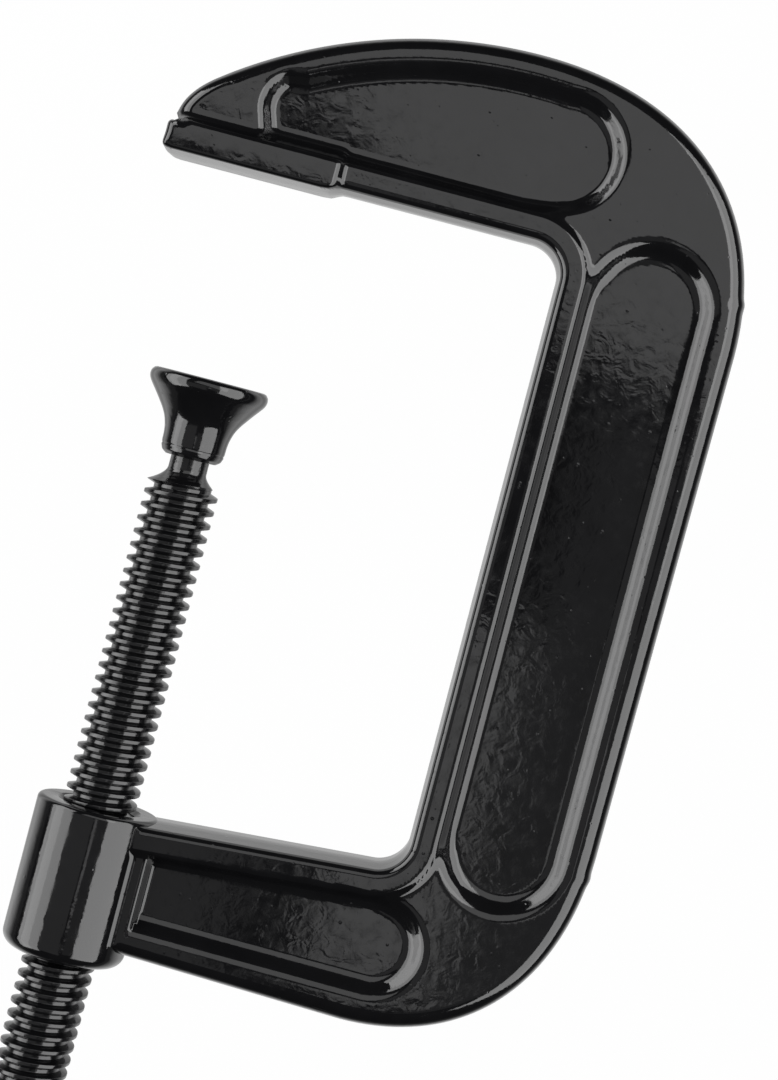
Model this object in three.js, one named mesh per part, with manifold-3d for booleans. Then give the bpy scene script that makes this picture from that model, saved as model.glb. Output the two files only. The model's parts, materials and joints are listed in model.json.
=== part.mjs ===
// A C clamp with a 125 mm opening: a cast frame, a trapezoidal screw with a swivel pad and a sliding tommy bar.
//
// Millimetres. The origin is where the screw's axis meets the anvil face. +Y runs up the screw from the boss to
// the anvil, +X runs from the screw into the throat and +Z is the frame's thickness.
import * as THREE from 'three';
import { mergeVertices } from 'three/addons/utils/BufferGeometryUtils.js';
import Module from 'manifold-3d';

const wasm = await Module();
wasm.setup();

// Screw thread: trapezoidal, 16 mm across and 3 mm pitch, right-handed.
const PITCH = 3;
const THREAD_STEPS = 16; // facets in one turn
const SCREW_ROOT_R = 6.25;
const SCREW_CREST_R = 8;
const SCREW_CREST_HALF = 0.55; // half the crest's width along the axis
const FLANK_SLOPE = Math.tan(THREE.MathUtils.degToRad(15));
const THREAD_GAP = 0.35; // running gap between the screw and the frame's thread
const THREAD_FADE = 2; // length over which a thread's end runs out

// How the screw stands: 45 mm short of the anvil.
const PAD_FACE_Y = -45.4;

// Swivel pad, measured from the centre of the ball it turns on.
const PAD_FACE = 13.9;
const PAD_RIM_R = 13.1;
const PAD_RIM_HEIGHT = 2.4;
const PAD_WAIST_R = 7.1;
const PAD_SKIRT_R = 6.9;
const PAD_SKIRT_END = -3.8;
const PAD_MOUTH_R = 4.95; // the swaged mouth, narrower than the ball
const SOCKET_R = 5.65;

// Screw, measured down from the centre of its ball.
const BALL_R = 5.3;
const NECK_R = 4.25;
const NECK_END = -6.4;
const SHANK_START = -10.2;
const THREAD_END = -163;
const HEAD_END = -190;
const HEAD_R = 9.5;
const HEAD_EDGE = 1.6;
const EYE_Y = -178.7;
const EYE_R = 4.6;

// Tommy bar and its end knobs.
const BAR_R = 4;
const BAR_LENGTH = 100; // between the knobs
const SPIGOT_R = 3;
const SPIGOT_LENGTH = 6;
const KNOB_R = 7;
const KNOB_LENGTH = 11;
const FIT_GAP = 0.3; // clearance between pieces that touch

// Frame casting: half thicknesses of its levels.
const LAND_HALF = 8.75; // the plate around the pockets
const RAIL_HALF = 10; // the rail along the throat
const ANVIL_HALF = 12;
const POCKET_DEPTH = 2.8;
const POCKET_WALL = 4.2; // width of a pocket's sloping wall
const OUTER_EDGE = 2.6; // rounding of the outer edge
const RAIL_EDGE = 1.2;

// Frame casting: its outline.
const THROAT_X = 67; // depth of the throat
const THROAT_TOP = 0.8; // underside of the jaw, behind the anvil
const THROAT_CORNER_R = 7;
const RAIL_WIDTH = 7;
const RAIL_TOP = 7.5; // top of the rail along the jaw
const ARM_INNER_Y = -137; // the arm's inner edge at the throat corner
const ARM_SLOPE = 0.075; // how the arm tapers towards the boss
const ARM_OUTER_Y = -172.2;
const SPINE_OUTER_TOP = new THREE.Vector2(108.3, -12);
const SPINE_OUTER_BOTTOM = new THREE.Vector2(106.9, -122);
const JAW_TOP = new THREE.Vector2(51.8, 41);
const JAW_BACK_R = 110;
const JAW_BACK_START_X = -15.5;
const NOSE_X = -21.4;
const HEEL_X = 62; // where the arm's outer edge turns up into the spine
const CORNER_PULL = 0.62; // how square the outer corners are

// Anvil: the raised end of the rail, which the work is clamped against.
const ANVIL_TIP_X = -23;
const ANVIL_HEEL_X = 14.7;
const ANVIL_RAMP = 2.5;

// Boss.
const BOSS_R = 13.5;
const BOSS_TOP = -140.8;
const BOSS_END = -174.2;
const BOSS_TOP_EDGE = 1;
const BOSS_END_EDGE = 3;
const BORE_CHAMFER = 2;

const CURVE_STEPS = 8;
const ROUND_STEPS = 24;

const BALL_Y = PAD_FACE_Y - PAD_FACE;

// --- helpers --------------------------------------------------------------------------------------------------

// A closed geometry as a solid that can be cut and joined.
function solid(geometry) {
  geometry.deleteAttribute('normal');
  geometry.deleteAttribute('uv');
  const merged = mergeVertices(geometry);
  const corners = merged.index.array;
  const kept = [];
  for (let i = 0; i < corners.length; i += 3) {
    const [a, b, c] = corners.slice(i, i + 3);
    if (a !== b && b !== c && c !== a) kept.push(a, b, c);
  }
  return new wasm.Manifold(new wasm.Mesh({
    numProp: 3,
    vertProperties: new Float32Array(merged.attributes.position.array),
    triVerts: new Uint32Array(kept),
  }));
}

function geometryOf(body) {
  const mesh = body.getMesh();
  const geometry = new THREE.BufferGeometry();
  geometry.setAttribute('position', new THREE.BufferAttribute(mesh.vertProperties, 3));
  geometry.setIndex(new THREE.BufferAttribute(mesh.triVerts, 1));
  return geometry;
}

function blackMesh(name, body, roughness) {
  const material = new THREE.MeshStandardMaterial({ color: 0x0c0c0e, roughness, metalness: 0.1, flatShading: true });
  const mesh = new THREE.Mesh(geometryOf(body), material);
  mesh.name = name;
  return mesh;
}

const point = (x, y) => new THREE.Vector2(x, y);

// A solid of revolution about Y, from a profile that runs upwards on its outside.
const turned = (points, steps = ROUND_STEPS) => solid(new THREE.LatheGeometry(points, steps));

// Points of a quarter round from one profile point to the next, bulging towards a corner.
function rounded(from, corner, to, steps = 4) {
  return new THREE.QuadraticBezierCurve(from, corner, to).getPoints(steps);
}

// A plate of an outline, centred on Z = 0, with its edges rounded inside the outline.
function slab(shape, half, edge) {
  const geometry = new THREE.ExtrudeGeometry(shape, {
    depth: 2 * (half - edge),
    bevelThickness: edge,
    bevelSize: edge,
    bevelOffset: -edge,
    bevelSegments: 2,
    curveSegments: CURVE_STEPS,
  });
  return solid(geometry.translate(0, 0, edge - half));
}

// What a pocket takes out of one side of the frame: narrow at its floor and wide where it leaves the land.
function pocketCutter(floor, side) {
  const depth = RAIL_HALF;
  const geometry = new THREE.ExtrudeGeometry(floor, {
    depth,
    bevelThickness: POCKET_DEPTH,
    bevelSize: POCKET_WALL,
    bevelSegments: 1,
    curveSegments: CURVE_STEPS,
  });
  return solid(geometry.translate(0, 0, side > 0 ? LAND_HALF : -LAND_HALF - depth));
}

// A right-handed threaded rod along Y. A lathe's rows are wound up by one pitch in each turn, so its seam closes
// one pitch further on. The ridge's middle crosses the +Z side at every phase + n * PITCH.
function threadedRod({ rootR, crestR, crestHalf, from, to, phase = 0 }) {
  const rootHalf = crestHalf + (crestR - rootR) * FLANK_SLOPE;
  const points = [point(0, from)];
  const firstTurn = Math.floor((from - phase) / PITCH) - 2;
  const lastTurn = Math.ceil((to - phase) / PITCH) + 1;
  for (let turn = firstTurn; turn <= lastTurn; turn += 1) {
    const middle = phase + turn * PITCH;
    points.push(point(rootR, middle - rootHalf), point(crestR, middle - crestHalf));
    points.push(point(crestR, middle + crestHalf), point(rootR, middle + rootHalf));
  }
  points.push(point(0, to));

  const geometry = new THREE.LatheGeometry(points, THREAD_STEPS);
  const place = geometry.attributes.position;
  for (let column = 0; column <= THREAD_STEPS; column += 1) {
    const angle = (column / THREAD_STEPS) * 2 * Math.PI;
    for (let row = 1; row < points.length - 1; row += 1) {
      const wound = points[row].y + (PITCH * column) / THREAD_STEPS;
      const y = THREE.MathUtils.clamp(Number(wound.toFixed(4)), from, to);
      const height = THREE.MathUtils.clamp(Math.min(y - from, to - y) / THREAD_FADE, 0, 1);
      const r = rootR + (points[row].x - rootR) * height;
      place.setXYZ(column * points.length + row, r * Math.sin(angle), y, r * Math.cos(angle));
    }
  }
  return solid(geometry);
}

// --- frame ----------------------------------------------------------------------------------------------------

const armInner = (x) => ARM_INNER_Y - (THROAT_X - x) * ARM_SLOPE;

// The throat's edge, from the boss along the arm, up the spine and along the jaw, moved outwards by inset.
function throatEdge(path, inset, startX, endX, jawY) {
  const spineX = THROAT_X + inset;
  const r = THROAT_CORNER_R + inset;
  const low = armInner(spineX - r) - inset;
  path.moveTo(startX, armInner(startX) - inset);
  path.lineTo(spineX - r, low);
  path.quadraticCurveTo(spineX, low, spineX, low + r);
  path.lineTo(spineX, jawY - r);
  path.absarc(spineX - r, jawY - r, r, 0, Math.PI / 2, false);
  path.lineTo(endX, jawY);
}

// The plate that carries the pockets: jaw, spine and arm.
function plateShape() {
  const shape = new THREE.Shape();
  throatEdge(shape, RAIL_WIDTH / 2, 0, NOSE_X, THROAT_TOP + RAIL_WIDTH / 2);
  const backCentre = point(JAW_TOP.x, JAW_TOP.y - JAW_BACK_R);
  const backStart = Math.acos((JAW_BACK_START_X - backCentre.x) / JAW_BACK_R);
  const noseTop = backCentre.y + JAW_BACK_R * Math.sin(backStart);
  shape.lineTo(NOSE_X, noseTop - 8);
  shape.quadraticCurveTo(NOSE_X + 0.8, noseTop - 4, JAW_BACK_START_X, noseTop);
  shape.absarc(backCentre.x, backCentre.y, JAW_BACK_R, backStart, Math.PI / 2, true);
  corner(shape, JAW_TOP, SPINE_OUTER_TOP, point(SPINE_OUTER_TOP.x, JAW_TOP.y));
  shape.lineTo(SPINE_OUTER_BOTTOM.x, SPINE_OUTER_BOTTOM.y);
  corner(shape, SPINE_OUTER_BOTTOM, point(HEEL_X, ARM_OUTER_Y), point(SPINE_OUTER_BOTTOM.x, ARM_OUTER_Y));
  shape.lineTo(0, ARM_OUTER_Y + 1.8);
  return shape;
}

// An outer corner: a smooth curve from one point to another, pulled towards the sharp corner.
function corner(path, from, to, sharp) {
  const a = from.clone().lerp(sharp, CORNER_PULL);
  const b = to.clone().lerp(sharp, CORNER_PULL);
  path.bezierCurveTo(a.x, a.y, b.x, b.y, to.x, to.y);
}

// The rail that stiffens the throat.
function railShape() {
  const outer = new THREE.Path();
  throatEdge(outer, RAIL_WIDTH, 0, ANVIL_HEEL_X, RAIL_TOP);
  const shape = new THREE.Shape();
  throatEdge(shape, 0, 0, ANVIL_HEEL_X, THROAT_TOP);
  for (const p of outer.getPoints(CURVE_STEPS).reverse()) shape.lineTo(p.x, p.y);
  return shape;
}

// The anvil: the flat end of the rail, a little proud of it, with a ramp down to the rail.
function anvilShape() {
  const top = RAIL_TOP + 0.3;
  const shape = new THREE.Shape();
  shape.moveTo(ANVIL_HEEL_X, 0);
  shape.lineTo(ANVIL_HEEL_X + ANVIL_RAMP, THROAT_TOP / 2);
  shape.lineTo(ANVIL_HEEL_X + ANVIL_RAMP, top);
  shape.lineTo(ANVIL_TIP_X + 2, top);
  shape.quadraticCurveTo(ANVIL_TIP_X, top, ANVIL_TIP_X, top - 2);
  shape.lineTo(ANVIL_TIP_X, 2);
  shape.quadraticCurveTo(ANVIL_TIP_X, 0, ANVIL_TIP_X + 2, 0);
  return shape;
}

// The floors of the three pockets.
function jawPocket() {
  const shape = new THREE.Shape();
  const bottom = 11.3;
  const heelR = 9.75;
  const heelX = 60.5;
  const tipR = 4.2;
  const tipX = 4.1;
  const backR = JAW_BACK_R - 10;
  const backY = JAW_TOP.y - JAW_BACK_R;
  const backEnd = Math.acos((tipX - 1.5 - JAW_TOP.x) / backR);
  shape.moveTo(tipX, bottom);
  shape.lineTo(heelX, bottom);
  shape.absarc(heelX, bottom + heelR, heelR, -Math.PI / 2, Math.PI / 2, false);
  shape.absarc(JAW_TOP.x, backY, backR, Math.PI / 2 - 0.05, backEnd, false);
  shape.absarc(tipX, bottom + tipR, tipR, Math.PI * 0.65, Math.PI * 1.5, false);
  return shape;
}

function spinePocket() {
  const shape = new THREE.Shape();
  const middle = 87.6;
  const r = 10;
  shape.absarc(middle, -6.6, r, 0, Math.PI, false);
  shape.absarc(middle, -127.5, r, Math.PI, 2 * Math.PI, false);
  return shape;
}

function armPocket() {
  const shape = new THREE.Shape();
  const endX = 63.6;
  const middle = -155.4;
  const r = 7.3;
  shape.moveTo(0, middle - r);
  shape.lineTo(endX, middle - r);
  shape.absarc(endX, middle, r, -Math.PI / 2, Math.PI / 2, false);
  shape.lineTo(0, middle + r - 4);
  return shape;
}

// The boss that carries the frame's thread.
function boss() {
  return turned([
    point(0, BOSS_END),
    ...rounded(point(BOSS_R - BOSS_END_EDGE, BOSS_END), point(BOSS_R, BOSS_END), point(BOSS_R, BOSS_END + BOSS_END_EDGE)),
    point(BOSS_R, BOSS_TOP - BOSS_TOP_EDGE),
    point(BOSS_R - BOSS_TOP_EDGE, BOSS_TOP),
    point(0, BOSS_TOP),
  ]);
}

// What the threaded bore takes out of the boss, with a lead-in at both mouths.
function tap() {
  const beyond = 3 * THREAD_FADE;
  const chamferR = SCREW_CREST_R + THREAD_GAP + BORE_CHAMFER / 2;
  const thread = threadedRod({
    rootR: SCREW_ROOT_R + THREAD_GAP,
    crestR: SCREW_CREST_R + THREAD_GAP,
    crestHalf: SCREW_CREST_HALF + THREAD_GAP - 2 * THREAD_GAP * FLANK_SLOPE,
    from: BOSS_END - beyond,
    to: BOSS_TOP + beyond,
    phase: BALL_Y,
  });
  const top = turned([point(0, BOSS_TOP - BORE_CHAMFER), point(chamferR - BORE_CHAMFER, BOSS_TOP - BORE_CHAMFER),
    point(chamferR + 1, BOSS_TOP + 1), point(0, BOSS_TOP + 1)]);
  const end = turned([point(0, BOSS_END - 1), point(chamferR + 1, BOSS_END - 1),
    point(chamferR - BORE_CHAMFER, BOSS_END + BORE_CHAMFER), point(0, BOSS_END + BORE_CHAMFER)]);
  return thread.add(top).add(end);
}

function frameCasting() {
  let body = slab(plateShape(), LAND_HALF, OUTER_EDGE);
  for (const floor of [jawPocket(), spinePocket(), armPocket()]) {
    body = body.subtract(pocketCutter(floor, 1)).subtract(pocketCutter(floor, -1));
  }
  body = body.add(slab(railShape(), RAIL_HALF, RAIL_EDGE));
  body = body.add(slab(anvilShape(), ANVIL_HALF, RAIL_EDGE));
  return body.add(boss()).subtract(tap());
}

// --- screw and swivel pad, about the centre of the ball -------------------------------------------------------

// An arc of a circle on the axis, from one angle to another, as profile points. Angle 0 is the equator.
function ballArc(r, fromAngle, toAngle, steps) {
  return Array.from({ length: steps + 1 }, (_, i) => {
    const angle = fromAngle + ((toAngle - fromAngle) * i) / steps;
    return point(r * Math.cos(angle), r * Math.sin(angle));
  });
}

function swivelPad() {
  const mouthAngle = -Math.acos(PAD_MOUTH_R / SOCKET_R);
  const rimY = PAD_FACE - PAD_RIM_HEIGHT;
  const flare = new THREE.CubicBezierCurve(point(PAD_SKIRT_R, 0), point(PAD_WAIST_R, 4.5),
    point(PAD_WAIST_R + 2, 8), point(PAD_RIM_R - 0.6, rimY - 0.8));
  return turned([
    ...ballArc(SOCKET_R, Math.PI / 2, mouthAngle, 10),
    point(PAD_MOUTH_R + 0.2, PAD_SKIRT_END),
    ...rounded(point(PAD_SKIRT_R - 1.1, PAD_SKIRT_END), point(PAD_SKIRT_R, PAD_SKIRT_END), point(PAD_SKIRT_R, -2)),
    ...flare.getPoints(8),
    ...rounded(point(PAD_RIM_R, rimY), point(PAD_RIM_R, PAD_FACE), point(PAD_RIM_R - 1, PAD_FACE), 3),
    point(0, PAD_FACE),
  ]);
}

function screw() {
  const neckAngle = Math.acos(NECK_R / BALL_R);
  const nose = turned([
    point(0, SHANK_START - 4),
    point(SCREW_ROOT_R - 1, SHANK_START - 4),
    point(SCREW_ROOT_R - 1, SHANK_START - 0.5),
    ...rounded(point(SCREW_ROOT_R, SHANK_START), point(NECK_R, SHANK_START + 2), point(NECK_R, NECK_END)),
    ...ballArc(BALL_R, -neckAngle, Math.PI / 2, 10),
  ]);
  const thread = threadedRod({
    rootR: SCREW_ROOT_R,
    crestR: SCREW_CREST_R,
    crestHalf: SCREW_CREST_HALF,
    from: THREAD_END,
    to: SHANK_START - 0.2,
  });
  const head = turned([
    point(0, HEAD_END),
    ...rounded(point(HEAD_R - HEAD_EDGE, HEAD_END), point(HEAD_R, HEAD_END), point(HEAD_R, HEAD_END + HEAD_EDGE)),
    point(HEAD_R, THREAD_END - HEAD_EDGE),
    point(HEAD_R - HEAD_EDGE, THREAD_END),
    point(SCREW_ROOT_R - 1, THREAD_END + 1),
    point(0, THREAD_END + 1),
  ]);
  const eye = new THREE.CylinderGeometry(EYE_R, EYE_R, 3 * HEAD_R, ROUND_STEPS).rotateZ(Math.PI / 2);
  return nose.add(thread).add(head).subtract(solid(eye.translate(0, EYE_Y, 0)));
}

// --- tommy bar, about its middle, along Y until it is laid across the screw -----------------------------------

function tommyBar() {
  const half = BAR_LENGTH / 2;
  const end = half + SPIGOT_LENGTH;
  return turned([
    point(0, -end),
    point(SPIGOT_R, -end),
    point(SPIGOT_R, -half),
    point(BAR_R, -half),
    point(BAR_R, half),
    point(SPIGOT_R, half),
    point(SPIGOT_R, end),
    point(0, end),
  ]);
}

// A knob: a round cap whose blind hole takes the bar's spigot. Its mouth is at Y = 0.
function barKnob() {
  const middle = KNOB_LENGTH - KNOB_R;
  const hole = SPIGOT_R + FIT_GAP;
  return turned([
    point(0, SPIGOT_LENGTH + FIT_GAP),
    point(hole, SPIGOT_LENGTH + FIT_GAP),
    point(hole, FIT_GAP),
    point(BAR_R + 0.6, FIT_GAP),
    ...rounded(point(BAR_R + 1.2, FIT_GAP), point(KNOB_R, FIT_GAP), point(KNOB_R, middle)),
    ...ballArc(KNOB_R, 0, Math.PI / 2, 6).slice(1).map((p) => point(p.x, p.y + middle)),
  ]);
}

// --- assembly -------------------------------------------------------------------------------------------------

const handle = new THREE.Group();
handle.position.y = EYE_Y;
handle.rotation.z = -Math.PI / 2;
handle.add(blackMesh('tommy_bar', tommyBar(), 0.3));
for (const [name, end] of [['bar_knob_left', -1], ['bar_knob_right', 1]]) {
  const knob = blackMesh(name, barKnob(), 0.3);
  knob.position.y = (end * BAR_LENGTH) / 2;
  knob.rotation.x = end < 0 ? Math.PI : 0;
  handle.add(knob);
}

const spindle = new THREE.Group();
spindle.position.y = BALL_Y;
spindle.add(blackMesh('swivel_pad', swivelPad(), 0.25));
spindle.add(blackMesh('screw', screw(), 0.3));
spindle.add(handle);

const clamp = new THREE.Group();
clamp.add(blackMesh('c_frame', frameCasting(), 0.2));
clamp.add(spindle);

export default clamp;
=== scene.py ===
import json
import math

import bpy
import numpy as np
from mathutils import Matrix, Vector, geometry


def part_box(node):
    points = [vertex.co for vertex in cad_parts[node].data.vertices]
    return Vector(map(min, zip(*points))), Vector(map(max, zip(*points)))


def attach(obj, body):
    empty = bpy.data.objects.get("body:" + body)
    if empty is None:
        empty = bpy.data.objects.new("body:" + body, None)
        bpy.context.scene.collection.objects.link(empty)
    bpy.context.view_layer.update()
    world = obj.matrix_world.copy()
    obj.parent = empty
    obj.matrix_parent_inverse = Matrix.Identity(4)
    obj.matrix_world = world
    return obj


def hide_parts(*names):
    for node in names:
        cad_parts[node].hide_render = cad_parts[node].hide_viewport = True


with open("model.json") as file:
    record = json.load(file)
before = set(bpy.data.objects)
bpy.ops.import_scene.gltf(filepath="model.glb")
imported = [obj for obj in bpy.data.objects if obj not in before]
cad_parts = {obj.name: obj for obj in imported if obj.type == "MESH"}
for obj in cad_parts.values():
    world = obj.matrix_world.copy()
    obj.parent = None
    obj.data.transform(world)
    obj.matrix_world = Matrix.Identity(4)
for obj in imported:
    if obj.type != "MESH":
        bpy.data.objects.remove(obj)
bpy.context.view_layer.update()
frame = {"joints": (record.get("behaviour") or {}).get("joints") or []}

MM = 0.001

# Places that the frame gives.
CASTING_LOW, CASTING_HIGH = (np.array(corner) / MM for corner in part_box("c_frame"))
PAD_LOW, PAD_HIGH = (np.array(corner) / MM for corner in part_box("swivel_pad"))
SCREW_END_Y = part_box("screw")[0][1] / MM
BAR_LOW, BAR_HIGH = (np.array(corner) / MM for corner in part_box("tommy_bar"))
KNOB_LOW, KNOB_HIGH = (np.array(corner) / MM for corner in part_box("bar_knob_right"))
BALL_Y = next(j["pos_m"] for j in frame["joints"] if j["name"] == "screw_turn")[1] / MM
EYE_Y = (BAR_LOW[1] + BAR_HIGH[1]) / 2

# Screw thread.
PITCH = 3.0
THREAD_STEPS = 64  # columns in one turn
LINE_AT = BALL_Y  # the ridges cross +Z at this height and at every pitch from it
CREST_R = 8.0
ROOT_R = 6.25
CREST_HALF = 0.42
FLANK_SLOPE = math.tan(math.radians(20))
THREAD_ROUND = 0.25  # rounding of the ridge's corners
THREAD_GAP = 0.35  # play between the screw and the boss's thread
BORE_THREAD_ROUND = 0.15

# Screw, down from the middle of its ball.
BALL_R = 5.3
NECK_R = 4.25
NECK_END = -6.4
SHANK_START = -10.2
SHANK_FLARE = 1.8  # how the cone below the neck bends outwards
THREAD_END = -163.0
RUNOUT = (0.4, 2.4, 2.2)  # start above the head, length and depth of the thread's last ridge
HEAD_R = 9.5
HEAD_ROUND = (1.8, 1.4)  # at its end and beside the thread
EYE_R = 4.6

# Tommy bar and its knobs.
SPIGOT_R = 3.0
SPIGOT_GAP = 0.3  # the bar's shoulder stops this far from the knob
KNOB_BORE = (3.3, 6.0)  # radius and depth
KNOB_MOUTH_R = 5.2
KNOB_NECK = 3.2  # from the knob's mouth to its full radius

# Pad, down from its face: the flare as (radius, height), and its socket.
PAD_FLARE = (
    (6.84, -15.6), (7.0, -15.1), (7.07, -13.4), (7.3, -11.8), (7.85, -10.0), (8.7, -8.4), (9.75, -6.9),
    (10.95, -5.3), (12.05, -3.9), (12.75, -2.9), (13.1, -1.9), (13.0, -0.9), (12.5, -0.2),
)
PAD_FACE_R = 12.0
SWAGE = ((6.55, -17.0, 1.0), (6.95, -15.95, 0.15))  # radius, height and rounding of the swaged lip's corners
SOCKET_R = 5.65
SOCKET_MOUTH_R = 4.95
SOCKET_LIP_R = 5.6

# Casting: half thicknesses of its levels, and how the levels meet.
ANVIL_HALF = 12.0
RAIL_HALF = 10.0
LAND_HALF = 8.75
POCKET_DEPTH = 3.0
POCKET_WALLS = ((3.0, 46), (3.8, 44), (3.6, 42))  # rounding and steepest degrees: jaw, spine and arm
RAIL_FLAT = 4.7  # from the throat's edge to where the rail rounds off
RAIL_CONVEX = 1.75
RAIL_CONCAVE = 2.8
RAIL_STEEPEST = 65  # degrees
ANVIL_CROWN = 0.006  # the anvil's front face falls off towards the jaw's back
JAW_FLOOR_LEAN = 0.024  # the jaw's pocket gets deeper towards the throat, and most near the tip
JAW_LEAN_TOP = 20
JAW_LEAN_END = 42
JAW_LEAN_RUN = 30
HEEL_X = 14.5  # where the anvil starts to step down to the rail
HEEL_CONVEX = 2.3
HEEL_CONCAVE = 2.0

# Casting: its outline.
THROAT_X = 67.0
THROAT_TOP = 0.8
THROAT_CORNER_R = 7.0
ARM_INNER_Y = -137.0
ARM_SLOPE = 0.075
ARM_OUTER_Y = -171.6
ARM_OUTER_AT_BOSS = -170.0
SPINE_BOTTOM = np.array([106.9, -122.0])
SPINE_TOP = np.array([CASTING_HIGH[0], -12.0])
JAW_TOP = np.array([51.8, CASTING_HIGH[1] - 0.5])
JAW_BACK_R = 110.0
JAW_BACK_START_X = -13.3
ARM_HEEL_X = 62.0
CORNER_PULL = 0.62
ANVIL_HEEL_X = 14.7
ANVIL_RAMP = 2.5
ANVIL_TIP_X = CASTING_LOW[0] + 0.4
ANVIL_TIP_R = 1.6
ANVIL_TOP = 6.9
NOSE_LEAVES = (-4.6, -3.2)  # the jaw's back runs on this far, then bends to NOSE_BEND and the anvil's top
NOSE_BEND = (-21.4, 12.2)
NOSE_MEETS = (1.1, 0.6)
# Edges: draft in degrees and rounding.
OUTER_EDGE = (1.8, 4.0)
THROAT_EDGE = (3.0, 1.9)
NOSE_EDGE = (3, 3.4)
TIP_EDGE = (3, 2.0)
TIP_CORNER_EDGE = (2, 1.6)
ANVIL_EDGE = (0.6, 1.0)
RAMP_EDGE = (2, 1.2)
ARM_ROOT_EDGE = (1, 0.5)
# Small lumps of flash left on the spine's back: x, y, height and width.
FLASH = ((107.5, -1.0, 0.3, 1.2), (107.0, -129.0, 0.3, 1.3))

# Floors of the pockets: their round ends as (centre, radius), and their other corners.
JAW_POCKET_HEEL = ((61.3, 21.0), 9.4)
JAW_POCKET_BACK = 9.9  # from the jaw's back
JAW_POCKET_TIP = ((4.1, 15.5), 4.2)
JAW_POCKET_X = (2.9, 41.0)
SPINE_POCKET_TOP = ((87.6, -6.7), 9.3)
SPINE_POCKET_END = ((87.1, -127.2), 9.3)
SPINE_POCKET_Y = (-15.6, -118.4)
ARM_POCKET_END = ((65.0, -154.0), 6.2)
ARM_POCKET_SQUARE = (5, -159.6)
ARM_POCKET_INNER_X = 45
ARM_POCKET_INNER_DROP = (0.7, 4)  # below the rail's foot, at ARM_POCKET_INNER_X and beside the boss

# Boss.
BOSS_R = CASTING_HIGH[2]
BOSS_TOP = -140.8
BOSS_END = CASTING_LOW[1]
BOSS_FILLET = 1.6
BOSS_ROUND = (3.0, 1.1)  # at its lower and upper end
BOSS_WALL_DIP = 0.25  # slope of the arm's end inside the boss's wall
ARM_POCKET_X = 13.0  # its square end beside the boss
ARM_POCKET_ROUND = (0.8, 0.4)
ARM_ROOT_X = 8.9  # the arm ends here, inside the boss's wall
BORE_MOUTH_R = 9.35

# Mesh spacing.
FINE = 0.6
COARSE = 4  # a flat stretch keeps one grid point in this many
WALL_ROWS = (0.35, 0.7, 1.0)  # shares of the drafted wall
LEVEL_ROW = 0.5  # the last row lies this far past the rounding
GRID_CLEARANCE = 0.8
ARC_ROWS = 8
BLOCK = 4000  # points worked on at a time


# --- outlines -----------------------------------------------------------------------------------------------


def line(a, b):
    return np.array([a, b], float)


def arc(centre, r, start, end, steps=24):
    """Points of an arc, angles in degrees."""
    t = np.radians(np.linspace(start, end, steps + 1))
    return np.array(centre) + r * np.stack([np.cos(t), np.sin(t)], 1)


def bezier(a, b, c, d, steps=40):
    t = np.linspace(0, 1, steps + 1)[:, None]
    return (1 - t) ** 3 * a + 3 * t * (1 - t) ** 2 * b + 3 * t * t * (1 - t) * c + t ** 3 * d


def corner(start, end, sharp):
    """A smooth curve between two points, pulled towards the sharp corner."""
    start, end, sharp = (np.array(p, float) for p in (start, end, sharp))
    return bezier(start, start + CORNER_PULL * (sharp - start), end + CORNER_PULL * (sharp - end), end)


def resample(points, step):
    """The same line with evenly spaced points, without its last one."""
    run = np.concatenate([[0], np.cumsum(np.linalg.norm(np.diff(points, axis=0), axis=1))])
    n = max(1, round(run[-1] / step))
    at = np.linspace(0, run[-1], n + 1)[:-1]
    return np.stack([np.interp(at, run, points[:, 0]), np.interp(at, run, points[:, 1])], 1)


def arm_inner(x):
    return ARM_INNER_Y - (THROAT_X - x) * ARM_SLOPE


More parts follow.
